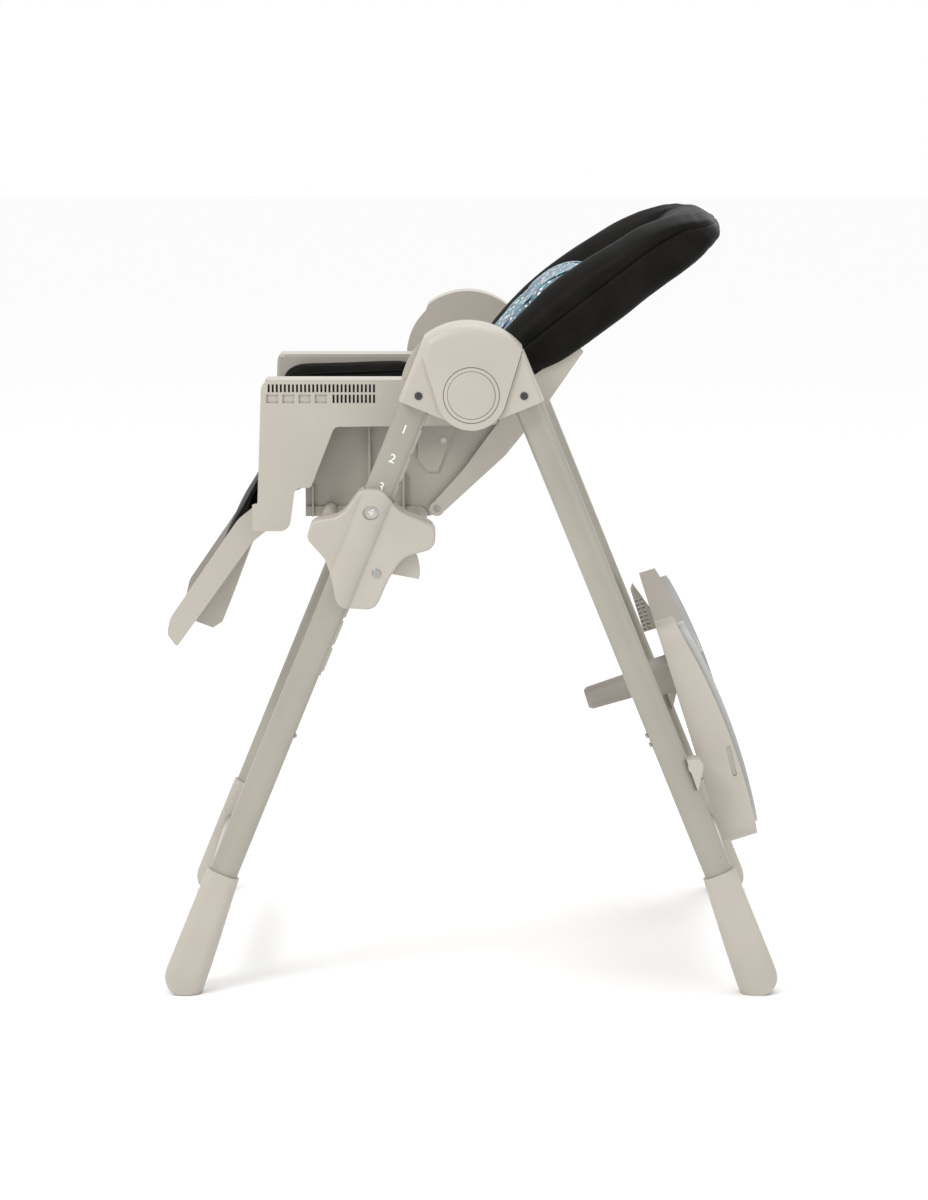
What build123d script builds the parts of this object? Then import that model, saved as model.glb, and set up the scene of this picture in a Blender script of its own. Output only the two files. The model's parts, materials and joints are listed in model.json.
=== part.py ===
from build123d import *

import math
import os

os.makedirs("parts", exist_ok=True)

# Folding baby high chair with its tray stored on the rear legs.
# +Z is up, the child faces -Y, +X is the child's left. The origin is on the floor, midway
# between the four feet. The two A-frames are symmetric about the plane X = 0, and each
# A-frame is symmetric about the vertical plane through its hub pivot.

# ---- driving dimensions, millimetres and degrees ----
PIVOT_Z = 722.6  # height of the hub pivots
LEG_ANGLE = 22.2  # each leg from the vertical
LEG_OFFSET = 56.3  # tube axis to hub pivot
LEG_X = 250  # centre plane of each A-frame
TUBE_DEEP = 34  # tube section, front to back
TUBE_WIDE = 20  # tube section, side to side
TUBE_WALL = 1.5
TUBE_TOP = -6  # tube ends, measured down the leg from the foot of the pivot's perpendicular
TUBE_SEAM = 470
TUBE_END = 745
BOOT_RIM = 645
SPIGOT = 40
HEIGHT_STEP = 35  # spacing of the seat heights
GAP = 0.4  # clearance round sliding parts

HUB_IN = 226  # inner face of the hub
HUB_OUT = 285  # raised outer face of the hub
LOBE_OUT = 281  # outer face of the hub lobes
HUB_WALL = 3
DOME_Y = -4
DOME_R = 83
DISC_R = 41
BUTTON_R = 27.6
BUTTON_TRAVEL = 6
BUTTON_BACK = 279.5  # inner face of the button at rest
LOBE_END = 38.5  # lower edge of the lobes, down the leg
LOBE_EDGE = 75.5  # outer edge of the lobes from the pivot, square to the leg
SLEEVE = 38.5  # inner edge of the sleeve round the tube
RING_R = 34  # rear lobe's ring round the pivot boss
RING_IN, RING_OUT = 235, 263.5
DECK = 276.5  # outer face of what turns under the raised face
BOSS_R = 12

SLIDER_IN = 228
SEAT_X = 148  # outer face of the seat bucket's side walls
SEAT_WALL = 4
PANEL_X = 187  # outer face of the side panels
PANEL_T = 4
ARM_Z = 731  # top of the arm rests
BUCKET_Z = 575  # underside of the bucket

RECLINE_Y, RECLINE_Z = -41, 572.8  # recline hinge
RECLINE_ANGLE = 37.3  # back's slope above the horizontal
WING_IN, WING_OUT = 152.5, 157.5

REST_Y, REST_Z = -238, 566  # leg rest hinge
REST_ANGLE = 34.5  # leg rest from the vertical
REST_X = 150
PIN_R = 4

TRAY_Y, TRAY_Z = 297.5, 196.5  # lower front corner of the tray's side wall
TRAY_ANGLE = 17.66  # tray from the vertical
TRAY_X = 220
TRAY_SKIN = 3
POST_U = 154  # crotch post's place along the tray

SIN_LEG = math.sin(math.radians(LEG_ANGLE))
COS_LEG = math.cos(math.radians(LEG_ANGLE))


# ---- helpers ----
def save(builder, name):
    """Label one finished piece and write its file."""
    builder.part.label = name
    export_step(builder.part, f"parts/{name}.step")


def save_pair(builder, name):
    """Write a left-hand piece and its mirror image on the right."""
    save(builder, f"{name}_left")
    with BuildPart() as right:
        mirror(builder.part, about=Plane.YZ)
    save(right, f"{name}_right")


def save_both(builder, name):
    """Write a left-hand group and its mirror image as one node."""
    with BuildPart() as both:
        add(builder.part)
        mirror(builder.part, about=Plane.YZ)
    save(both, name)


def leg_point(along, out, side):
    """The (y, z) of a point down a leg and outwards from the pivot; side is -1 front, 1 rear."""
    y = side * (out * COS_LEG + along * SIN_LEG)
    z = PIVOT_Z + out * SIN_LEG - along * COS_LEG
    return y, z


def leg_plane(side, along, out=LEG_OFFSET, x=LEG_X):
    """Plane square to a leg: local x is across the chair, local y points away from the pivot."""
    y, z = leg_point(along, out, side)
    return Plane(origin=(x, y, z), x_dir=(-side, 0, 0), z_dir=(0, side * SIN_LEG, -COS_LEG))


def side_plane(x):
    """Plane seen from the child's left at a distance x: local x is +Y, local y is +Z."""
    return Plane.YZ.offset(x)


def back_plane(x):
    """The reclined back's own side plane: local x runs up the back, local y towards the child."""
    slope = math.radians(RECLINE_ANGLE)
    return Plane(
        origin=(x, RECLINE_Y, RECLINE_Z), x_dir=(0, math.cos(slope), math.sin(slope)), z_dir=(1, 0, 0)
    )


def rest_plane(x):
    """The leg rest's own side plane: local x runs down the rest, local y towards the child."""
    slope = math.radians(REST_ANGLE)
    return Plane(
        origin=(x, REST_Y, REST_Z), x_dir=(0, -math.sin(slope), -math.cos(slope)), z_dir=(-1, 0, 0)
    )


def tray_plane(height=0):
    """Plane of the tray: local x across it, local y up the stored tray, offset off its underside."""
    slope = math.radians(TRAY_ANGLE)
    normal = (0, math.cos(slope), math.sin(slope))
    across = (-1, 0, 0)
    return Plane(origin=(0, TRAY_Y, TRAY_Z), x_dir=across, z_dir=normal).offset(height)


def tray_side(x):
    """Side plane of the tray: local x off its underside, local y up the stored tray."""
    slope = math.radians(TRAY_ANGLE)
    return Plane(
        origin=(x, TRAY_Y, TRAY_Z), x_dir=(0, math.cos(slope), math.sin(slope)), z_dir=(1, 0, 0)
    )


def soft_outline(points, radii):
    """A closed polygon with its corners rounded, one radius for each corner."""
    with BuildLine() as line:
        FilletPolyline(*points, radius=radii, close=True)
    make_face(line.edges())


def tube_section(shrink=0.0):
    """The tubes' oval section, or a smaller one inside it."""
    Ellipse(TUBE_WIDE / 2 - shrink, TUBE_DEEP / 2 - shrink)


# ---- legs ----
def upper_tube(side):
    with BuildPart() as tube:
        with BuildSketch(leg_plane(side, TUBE_TOP)):
            tube_section()
            tube_section_hole()
        extrude(amount=TUBE_SEAM - TUBE_TOP)
    return tube


def tube_section_hole():
    Ellipse(TUBE_WIDE / 2 - TUBE_WALL, TUBE_DEEP / 2 - TUBE_WALL, mode=Mode.SUBTRACT)


def lower_tube(side):
    """Lower tube with the spigot that carries the upper tube."""
    with BuildPart() as tube:
        with BuildSketch(leg_plane(side, TUBE_SEAM)):
            tube_section()
        extrude(amount=TUBE_END - TUBE_SEAM)
        with BuildSketch(leg_plane(side, TUBE_SEAM - SPIGOT)):
            tube_section(TUBE_WALL + 0.1)
        extrude(amount=SPIGOT)
        with BuildSketch(leg_plane(side, TUBE_SEAM - SPIGOT)):
            tube_section(2 * TUBE_WALL + 0.1)
        extrude(amount=SPIGOT + TUBE_END - TUBE_SEAM, mode=Mode.SUBTRACT)
    return tube


BOOT_SECTIONS = [
    # down the leg, shift towards the pivot side, depth, width, corner
    (BOOT_RIM, 0, 40, 26, 12),
    (BOOT_RIM + 50, 0, 48, 32, 14),
    (BOOT_RIM + 105, 3, 50.5, 35, 15),
    (BOOT_RIM + 190, 6, 48, 34, 15),
]
TOE_R = 22
TOE_OUT = LEG_OFFSET + 20


def toe_outline(side):
    """Side view of a boot's lower end in the open sketch, with a round toe on the floor."""
    y, _ = leg_point((PIVOT_Z + TOE_OUT * SIN_LEG) / COS_LEG, TOE_OUT, side)
    toe_top = leg_point(BOOT_RIM - 20, TOE_OUT, side)
    heel_top = leg_point(BOOT_RIM - 20, LEG_OFFSET - 60, side)
    heel = (y - side * 140, 0)
    soft_outline([(y, 0), toe_top, heel_top, heel], [TOE_R, 1, 1, 1])


def boot(side):
    """Moulded boot over the tube's end, standing flat on the floor."""
    with BuildPart() as shoe:
        for along, shift, deep, wide, corner in BOOT_SECTIONS:
            with BuildSketch(leg_plane(side, along, LEG_OFFSET - shift)):
                RectangleRounded(wide, deep, corner)
        loft()
        with BuildSketch(side_plane(LEG_X - 40)):
            toe_outline(side)
        extrude(amount=80, mode=Mode.INTERSECT)
        with BuildSketch(leg_plane(side, BOOT_RIM - 1)):
            tube_section(-0.1)
        extrude(amount=TUBE_END - BOOT_RIM + 1.2, mode=Mode.SUBTRACT)
    return shoe


def tube_screws(side, places):
    """Round-headed screws on the inner edge of the tubes, through the joint."""
    with BuildPart() as screws:
        for along in places:
            inner = LEG_OFFSET - TUBE_DEEP / 2
            y, z = leg_point(along, inner, side)
            head = Plane(origin=(LEG_X, y, z), z_dir=(0, -side * COS_LEG, -SIN_LEG))
            with BuildSketch(head):
                Circle(3.2)
            extrude(amount=2.6, taper=18)
    return screws


# Hub shell, fixed to the front tubes
FACE_SLOPE = math.radians(73)  # straight edges of the raised face


def face_edge(grow=0.0):
    """Where the raised face's rear edge leaves the disc, and where it meets the dome's rim."""
    radius = DISC_R + grow
    y0 = radius * math.sin(FACE_SLOPE)
    z0 = -radius * math.cos(FACE_SLOPE)
    dy, dz = math.cos(FACE_SLOPE), math.sin(FACE_SLOPE)
    half = (y0 - DOME_Y) * dy + z0 * dz
    reach = math.sqrt(half**2 - (y0 - DOME_Y) ** 2 - z0**2 + DOME_R**2) - half
    return (y0, PIVOT_Z + z0), (y0 + reach * dy, PIVOT_Z + z0 + reach * dz)


def raised_face(grow=0.0):
    """Disc and the wedge that opens upwards from it, in the open sketch."""
    y0, z0 = face_edge(grow)[0]
    with Locations((0, PIVOT_Z)):
        Circle(DISC_R + grow)
    top = PIVOT_Z + 2 * DOME_R
    y2 = y0 + (top - z0) / math.tan(FACE_SLOPE)
    Polygon((-y0, z0), (y0, z0), (y2, top), (-y2, top), align=None)


def lobe_outline(side, inner, outer, top, bottom):
    """A leg-aligned rectangle in the open sketch, from inner to outer and top to bottom."""
    corners = [(top, inner), (top, outer), (bottom, outer), (bottom, inner)]
    Polygon(*[leg_point(along, out, side) for along, out in corners], align=None)


def lobe_cut(side, inner, outer, top, bottom):
    """The same rectangle taken out of the open sketch."""
    corners = [(top, inner), (top, outer), (bottom, outer), (bottom, inner)]
    points = [leg_point(along, out, side) for along, out in corners]
    Polygon(*points, align=None, mode=Mode.SUBTRACT)


DOME_ROUND = 14
LOBE_FADE = -46  # the front lobe's step up to the raised face fades out here
DECK_T = 8

# Step from the raised face down to the front lobe
with BuildPart() as lobe_step:
    with BuildSketch(side_plane(LOBE_OUT - 5)):
        lobe_outline(-1, -20, LOBE_EDGE + 20, LOBE_FADE, LOBE_END + 20)
    extrude(amount=40)
    slope_y, slope_z = leg_point(0, 0, -1)
    slope_plane = Plane(
        origin=(0, slope_y, slope_z), x_dir=(0, -SIN_LEG, -COS_LEG), z_dir=(0, -COS_LEG, SIN_LEG)
    )
    with BuildSketch(slope_plane):
        Polygon(
            (LOBE_FADE, HUB_OUT),
            (0, LOBE_OUT),
            (LOBE_END + 30, LOBE_OUT),
            (LOBE_END + 30, HUB_OUT + 30),
            (LOBE_FADE, HUB_OUT + 30),
            align=None,
        )
    extrude(amount=150, both=True, mode=Mode.INTERSECT)
    with BuildSketch(side_plane(HUB_IN)):
        raised_face()
    extrude(amount=100, mode=Mode.SUBTRACT)

with BuildPart() as hub_shell:
    # dome, raised face, disc and front lobe are one moulding
    rim_start, rim_end = face_edge()
    shoulder_along = DOME_Y * -SIN_LEG - math.sqrt(DOME_R**2 - (LOBE_EDGE + DOME_Y * COS_LEG) ** 2)
    shoulder = leg_point(shoulder_along, LOBE_EDGE, -1)
    disc_meets = leg_point(LOBE_END, math.sqrt(DISC_R**2 - LOBE_END**2), -1)
    with BuildSketch(side_plane(HUB_IN)):
        with BuildLine():
            ThreePointArc(rim_end, (DOME_Y, PIVOT_Z + DOME_R), shoulder)
            Line(shoulder, leg_point(LOBE_END, LOBE_EDGE, -1))
            Line(leg_point(LOBE_END, LOBE_EDGE, -1), disc_meets)
            ThreePointArc(disc_meets, (0, PIVOT_Z - DISC_R), rim_start)
            Line(rim_start, rim_end)
        make_face()
    extrude(amount=HUB_OUT - HUB_IN)
    outer = hub_shell.edges().filter_by(lambda e: e.center().X > HUB_OUT - 0.01)
    fillet(outer.sort_by(lambda e: (e @ 0.5 - Vector(0, DOME_Y, PIVOT_Z)).length)[-2:], radius=DOME_ROUND)
    add(lobe_step.part, mode=Mode.SUBTRACT)
    # cavity for the rear lobe, closed by the sleeve round the front tube
    with BuildSketch(side_plane(HUB_IN + DECK_T)):
        with Locations((DOME_Y, PIVOT_Z)):
            Circle(DOME_R - HUB_WALL)
        lobe_cut(-1, SLEEVE, 120, -120, 120)
        lobe_cut(-1, 0, 120, LOBE_END - HUB_WALL, 120)
    extrude(amount=HUB_OUT - HUB_IN - 2 * DECK_T, mode=Mode.SUBTRACT)
    # inner plate behind the rear lobe, and the boss it turns on
    with BuildSketch(side_plane(HUB_IN)):
        with Locations((DOME_Y, PIVOT_Z)):
            Circle(DOME_R - HUB_WALL - 1)
        with Locations((0, PIVOT_Z - DOME_R)):
            Rectangle(4 * DOME_R, 2 * DOME_R, mode=Mode.SUBTRACT)
    extrude(amount=DECK_T)
    with BuildSketch(side_plane(HUB_IN)):
        with Locations((0, PIVOT_Z)):
            Circle(BOSS_R)
    extrude(amount=RING_OUT + 1 - HUB_IN)
    # button well, ring groove, tube socket
    with BuildSketch(side_plane(HUB_OUT - DECK_T - 1)):
        with Locations((0, PIVOT_Z)):
            Circle(BUTTON_R + GAP)
    extrude(amount=DECK_T + 2, mode=Mode.SUBTRACT)
    with BuildSketch(side_plane(HUB_OUT - 1.4)):
        with Locations((0, PIVOT_Z)):
            Circle(32.9)
            Circle(32, mode=Mode.SUBTRACT)
    extrude(amount=3, mode=Mode.SUBTRACT)
    with BuildSketch(leg_plane(-1, TUBE_TOP - 0.1)):
        tube_section(-0.1)
    extrude(amount=LOBE_END - TUBE_TOP + 2, mode=Mode.SUBTRACT)
save_pair(hub_shell, "hub_shell")

# Rear lobe, turning on the boss inside the hub shell
with BuildPart() as rear_lobe:
    with BuildSketch(side_plane(RING_IN)):
        lobe_outline(1, 12, LOBE_EDGE, LOBE_FADE, LOBE_END)
    extrude(amount=HUB_OUT - RING_IN)
    outer = rear_lobe.edges().filter_by(lambda e: e.center().X > HUB_OUT - 0.01)
    fillet(outer.sort_by(Axis.Y)[-1], radius=DOME_ROUND)
    with BuildSketch(side_plane(LOBE_OUT)):
        with Locations((0, PIVOT_Z)):
            Circle(150)
    extrude(amount=20, mode=Mode.SUBTRACT)
    with BuildSketch(side_plane(RING_IN)):
        with Locations((0, PIVOT_Z)):
            Circle(RING_R)
    extrude(amount=RING_OUT - RING_IN)
    # room for the raised face, the disc and the button
    with BuildSketch(side_plane(DECK)):
        raised_face(0.7)
    extrude(amount=20, mode=Mode.SUBTRACT)
    with BuildSketch(side_plane(BUTTON_BACK - BUTTON_TRAVEL - 1)):
        with Locations((0, PIVOT_Z)):
            Circle(BUTTON_R + 1)
    extrude(amount=20, mode=Mode.SUBTRACT)
    # the shoulder stays inside the dome
    with BuildSketch(side_plane(HUB_IN)):
        with Locations((DOME_Y, PIVOT_Z)):
            Circle(150)
            Circle(DOME_R - HUB_WALL - 0.8, mode=Mode.SUBTRACT)
        Polygon(
            (0, PIVOT_Z - 160),
            (160, PIVOT_Z - 160),
            (160, PIVOT_Z + 49.5),
            (0, PIVOT_Z + 49.5),
            align=None,
            mode=Mode.SUBTRACT,
        )
    extrude(amount=80, mode=Mode.SUBTRACT)
    with BuildSketch(side_plane(HUB_IN)):
        with Locations((0, PIVOT_Z)):
            Circle(BOSS_R + 0.05)
    extrude(amount=80, mode=Mode.SUBTRACT)
    with BuildSketch(leg_plane(1, TUBE_TOP - 0.1)):
        tube_section(-0.1)
    extrude(amount=LOBE_END - TUBE_TOP + 2, mode=Mode.SUBTRACT)
save_pair(rear_lobe, "rear_hub_lobe")

BOLT_TOP = 268
with BuildPart() as pivot_bolt:
    with BuildSketch(side_plane(RING_OUT + 1)):
        with Locations((0, PIVOT_Z)):
            Circle(9)
    extrude(amount=BOLT_TOP - RING_OUT - 1)
save_both(pivot_bolt, "pivot_bolts")

with BuildPart() as button:
    with BuildSketch(side_plane(BUTTON_BACK)):
        with Locations((0, PIVOT_Z)):
            Circle(BUTTON_R)
    extrude(amount=6.7)
    fillet(button.edges().sort_by(Axis.X)[-1], radius=1.4)
    with BuildSketch(side_plane(BUTTON_BACK)):
        with Locations((0, PIVOT_Z)):
            Circle(BUTTON_R - 3)
            Circle(10, mode=Mode.SUBTRACT)
    extrude(amount=4, mode=Mode.SUBTRACT)
save_pair(button, "fold_button")

SPRING_R, SPRING_WIRE = 7.5, 0.6
with BuildPart() as spring:
    coil_plane = Plane(origin=(BOLT_TOP + SPRING_WIRE + 0.1, 0, PIVOT_Z), z_dir=(1, 0, 0))
    with BuildSketch(coil_plane):
        Circle(SPRING_R + SPRING_WIRE)
        Circle(SPRING_R - SPRING_WIRE, mode=Mode.SUBTRACT)
    extrude(amount=BUTTON_TRAVEL - 2)
save_both(spring, "fold_button_springs")


def hub_screw(side):
    """Recessed screw that holds a tube in its lobe, with a three-lobed socket."""
    y, z = leg_point(24, LEG_OFFSET, side)
    with BuildPart() as screw:
        with BuildSketch(side_plane(LOBE_OUT)):
            with Locations((y, z)):
                Circle(4.6)
        extrude(amount=1)
        with BuildSketch(side_plane(LOBE_OUT + 0.3)):
            with Locations((y, z)):
                with PolarLocations(1.7, 3, start_angle=90):
                    Circle(1.3)
                Circle(1.2)
        extrude(amount=2, mode=Mode.SUBTRACT)
    return screw


save_both(hub_screw(-1), "front_hub_screws")
save_both(hub_screw(1), "rear_hub_screws")

# Frames
save_pair(upper_tube(-1), "front_tube")
save_pair(upper_tube(1), "rear_tube")
save_pair(lower_tube(-1), "front_lower_tube")
save_pair(lower_tube(1), "rear_lower_tube")

CROSSBAR_R = 11
CROSSBAR_AT = 700
CROSSBAR_X = 239.5  # each end sits in its boot


def crossbar(side):
    y, z = leg_point(CROSSBAR_AT, LEG_OFFSET, side)
    with BuildPart() as bar:
        with BuildSketch(side_plane(-CROSSBAR_X)):
            with Locations((y, z)):
                Circle(CROSSBAR_R)
                Circle(CROSSBAR_R - TUBE_WALL, mode=Mode.SUBTRACT)
        extrude(amount=2 * CROSSBAR_X)
    return bar


save(crossbar(-1), "front_crossbar")
save(crossbar(1), "rear_crossbar")

SOLE = 0.8  # the front boots stand on rubber pads this much proud of them
PAD_DEEP = 3


def crossbar_socket(side):
    y, z = leg_point(CROSSBAR_AT, LEG_OFFSET, side)
    with BuildPart() as socket:
        with BuildSketch(side_plane(LEG_X - 30)):
            with Locations((y, z)):
                Circle(CROSSBAR_R + 0.05)
        extrude(amount=CROSSBAR_X - LEG_X + 30.1)
    return socket.part


PAD_Y, PAD_LONG = -334, 20
with BuildPart() as front_boot:
    add(boot(-1).part)
    add(crossbar_socket(-1), mode=Mode.SUBTRACT)
    with BuildSketch(Plane.XY):
        with Locations((LEG_X, PAD_Y)):
            RectangleRounded(18, PAD_LONG, 5)
    extrude(amount=PAD_DEEP, mode=Mode.SUBTRACT)
    with BuildSketch(Plane.XY):
        with Locations((LEG_X, PAD_Y)):
            Rectangle(100, 200)
    extrude(amount=SOLE, mode=Mode.SUBTRACT)
save_pair(front_boot, "front_boot")

with BuildPart() as foot_pad:
    with BuildSketch(Plane.XY):
        with Locations((LEG_X, PAD_Y)):
            RectangleRounded(18, PAD_LONG, 5)
    extrude(amount=PAD_DEEP)
save_both(foot_pad, "front_foot_pads")

WHEEL_R = 15
WHEEL_T = 12
WHEEL_Y, WHEEL_Z = 352, 17
AXLE_R = 2.5
with BuildPart() as rear_boot:
    add(boot(1).part)
    add(crossbar_socket(1), mode=Mode.SUBTRACT)
    with BuildSketch(side_plane(LEG_X - WHEEL_T / 2 - 1)):
        with Locations((WHEEL_Y, WHEEL_Z)):
            Circle(WHEEL_R + 1.2)
        with Locations((WHEEL_Y + 20, WHEEL_Z - 10)):
            Rectangle(40, 32)
    extrude(amount=WHEEL_T + 2, mode=Mode.SUBTRACT)
    with BuildSketch(side_plane(LEG_X - 13)):
        with Locations((WHEEL_Y, WHEEL_Z)):
            Circle(AXLE_R)
    extrude(amount=26, mode=Mode.SUBTRACT)
save_pair(rear_boot, "rear_boot")

with BuildPart() as wheel:
    with BuildSketch(side_plane(LEG_X - WHEEL_T / 2)):
        with Locations((WHEEL_Y, WHEEL_Z)):
            Circle(WHEEL_R)
    extrude(amount=WHEEL_T)
    fillet(wheel.edges(), radius=2)
    with BuildSketch(side_plane(LEG_X - WHEEL_T / 2)):
        with Locations((WHEEL_Y, WHEEL_Z)):
            Circle(AXLE_R + 0.05)
    extrude(amount=WHEEL_T, mode=Mode.SUBTRACT)
save_pair(wheel, "rear_wheel")

with BuildPart() as axle:
    with BuildSketch(side_plane(LEG_X - 13)):
        with Locations((WHEEL_Y, WHEEL_Z)):
            Circle(AXLE_R)
    extrude(amount=26)
save_both(axle, "wheel_axles")

# Height rack on the inner edge of the front tubes
RACK_TOP, RACK_END = 42, 378
RACK_PROUD = 2.8
with BuildPart() as rack:
    rack_y, rack_z = leg_point(0, 0, -1)
    rack_plane = Plane(
        origin=(LEG_X, rack_y, rack_z), x_dir=(0, -SIN_LEG, -COS_LEG), z_dir=(-1, 0, 0)
    )
    inner = LEG_OFFSET - TUBE_DEEP / 2
    with BuildSketch(rack_plane.offset(-4)):
        with Locations(((RACK_TOP + RACK_END) / 2, inner - RACK_PROUD / 2 + 3)):
            Rectangle(RACK_END - RACK_TOP, RACK_PROUD + 6)
        with Locations(
            *[(60 + step * HEIGHT_STEP, inner - RACK_PROUD - 2) for step in range(10)]
        ):
            Circle(4, mode=Mode.SUBTRACT)
    extrude(amount=8)
    with BuildSketch(leg_plane(-1, 0)):
        tube_section()
    extrude(amount=RACK_END + 60, mode=Mode.SUBTRACT)
save_both(rack, "height_racks")

save_both(tube_screws(-1, [457]), "front_tube_screws")
save_both(tube_screws(1, [457, 469]), "rear_tube_screws")

# ---- seat carriers, sliding on the front tubes ----
SLIDER_OUTLINE = [
    # y, z, corner radius, clockwise from the top
    (-129, 611, 13),
    (-104, 611, 15),
    (-84, 585, 45),
    (-42, 568, 13),
    (-42, 541, 15),
    (-80, 531, 30),
    (-97, 504, 40),
    (-113, 468, 15),
    (-157, 471, 18),
    (-162.5, 503, 60),
    (-171, 528, 30),
    (-193, 553, 11),
    (-187, 573.5, 11),
    (-153, 579, 30),
]
SLIDER_FACE = 272  # flat outer face
BARREL_OUT = 280
SLIDER_SPLIT = 239
LEVER_Y, LEVER_Z = -110.9, 512.3
LEVER_R = 50.6
LEVER_X, LEVER_T = 246, 10
LEVER_PIN = 3
WINDOW = leg_point(172, LEG_OFFSET, -1)
CHANNEL_IN, CHANNEL_OUT = -21, 17.6


def slider_shape():
    points = [(y, z) for y, z, _ in SLIDER_OUTLINE]
    soft_outline(points, [radius for _, _, radius in SLIDER_OUTLINE])


def sector(radius, start, end):
    """A sector about the lever's pin, in the open sketch."""
    with BuildLine(mode=Mode.PRIVATE) as line:
        arc = CenterArc((LEVER_Y, LEVER_Z), radius, start, end - start)
        Line((LEVER_Y, LEVER_Z), arc @ 0)
        Line((LEVER_Y, LEVER_Z), arc @ 1)
    make_face(line.edges())


with BuildPart() as barrel:
    with BuildSketch(leg_plane(-1, 100, LEG_OFFSET, 268)):
        Ellipse(BARREL_OUT - 268, 19)
    extrude(amount=200)
    with BuildSketch(side_plane(SLIDER_FACE - 4)):
        slider_shape()
    extrude(amount=40, mode=Mode.INTERSECT)

with BuildPart() as slider:
    with BuildSketch(side_plane(SLIDER_SPLIT)):
        slider_shape()
    extrude(amount=SLIDER_FACE - SLIDER_SPLIT)
    fillet(slider.edges().filter_by(lambda e: e.center().X > SLIDER_FACE - 0.01), radius=3.5)
    add(barrel.part)
    with BuildSketch(side_plane(SLIDER_SPLIT)):
        slider_shape()
        offset(amount=-3, mode=Mode.REPLACE)
    extrude(amount=SLIDER_FACE - SLIDER_SPLIT - 5, mode=Mode.SUBTRACT)
    # way for the tube and its rack
    with BuildSketch(leg_plane(-1, 100, LEG_OFFSET + (CHANNEL_IN + CHANNEL_OUT) / 2)):
        Rectangle(TUBE_WIDE + 2 * GAP, CHANNEL_OUT - CHANNEL_IN)
    extrude(amount=220, mode=Mode.SUBTRACT)
    # mouth for the lever
    with BuildSketch(side_plane(LEVER_X - 1.5)):
        sector(LEVER_R + 3, -24, 52)
    extrude(amount=LEVER_T + 3, mode=Mode.SUBTRACT)
    with BuildSketch(side_plane(SLIDER_SPLIT)):
        with Locations((LEVER_Y, LEVER_Z)):
            Circle(LEVER_PIN)
    extrude(amount=60, mode=Mode.SUBTRACT)
    # window
    with BuildSketch(side_plane(SLIDER_SPLIT)):
        with Locations(WINDOW):
            Ellipse(8.4, 7)
    extrude(amount=60, mode=Mode.SUBTRACT)
    with BuildSketch(side_plane(SLIDER_FACE - 1)):
        with Locations(WINDOW):
            Ellipse(9.8, 8.4)
    extrude(amount=20, mode=Mode.SUBTRACT)
save_pair(slider, "slider")

with BuildPart() as lens:
    with BuildSketch(side_plane(SLIDER_FACE - 1)):
        with Locations(WINDOW):
            Ellipse(9.6, 8.2)
    extrude(amount=2.5)
save_both(lens, "window_lenses")

BOSSES = [(-168.9, 572.2), (-60.1, 566.5)]  # they join the carriers to the bucket
with BuildPart() as slider_back:
    with BuildSketch(side_plane(SLIDER_IN)):
        slider_shape()
        offset(amount=-1, mode=Mode.REPLACE)
    extrude(amount=SLIDER_SPLIT - SLIDER_IN)
    with BuildSketch(side_plane(SEAT_X + 3)):
        with Locations(*BOSSES):
            Circle(7.5)
    extrude(amount=SLIDER_IN - SEAT_X - 3)
    with BuildSketch(side_plane(SLIDER_IN)):
        with Locations((LEVER_Y, LEVER_Z)):
            Circle(LEVER_PIN)
    extrude(amount=20, mode=Mode.SUBTRACT)
save_both(slider_back, "slider_backs")

with BuildPart() as slider_screw:
    with BuildSketch(side_plane(SLIDER_IN)):
        with Locations((LEVER_Y, LEVER_Z)):
            Circle(LEVER_PIN)
    extrude(amount=SLIDER_FACE - SLIDER_IN)
    with BuildSketch(side_plane(SLIDER_FACE)):
        with Locations((LEVER_Y, LEVER_Z)):
            Circle(5)
    extrude(amount=1.8)
    fillet(slider_screw.edges().sort_by(Axis.X)[-1], radius=1.2)
    with BuildSketch(side_plane(SLIDER_FACE + 1)):
        with Locations((LEVER_Y, LEVER_Z)):
            with PolarLocations(1.4, 3, start_angle=90):
                Circle(1.1)
            Circle(1)
    extrude(amount=2, mode=Mode.SUBTRACT)
save_both(slider_screw, "slider_screws")

with BuildPart() as lever:
    with BuildSketch(side_plane(LEVER_X)):
        sector(LEVER_R, -11, 58)
        with Locations((LEVER_Y, LEVER_Z)):
            Circle(8)
            Circle(LEVER_PIN + 0.05, mode=Mode.SUBTRACT)
    extrude(amount=LEVER_T)
    fillet(lever.edges().filter_by(GeomType.CIRCLE).filter_by(lambda e: e.radius > 40), radius=1.5)
save_pair(lever, "height_lever")

# ---- seat ----
FLOOR_Z = 605  # underside of the bucket's floor
BUCKET_TOP = 727
SKIRT_Z = 563
BUCKET_FRONT, WELL_FRONT = -244, -199
WALL_OUTLINE = [
    (BUCKET_FRONT, BUCKET_TOP),
    (BUCKET_FRONT, FLOOR_Z),
    (WELL_FRONT, FLOOR_Z),
    (WELL_FRONT, SKIRT_Z),
    (-50, SKIRT_Z),
    (-34, 584),
    (1, 617),
    (41, 663),
    (70, 706),
    (74, BUCKET_TOP),
]
RIBS = [(-122, 727, 565), (-81, 619, 568), (-190, 601, 563)]  # y, top, bottom

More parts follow.
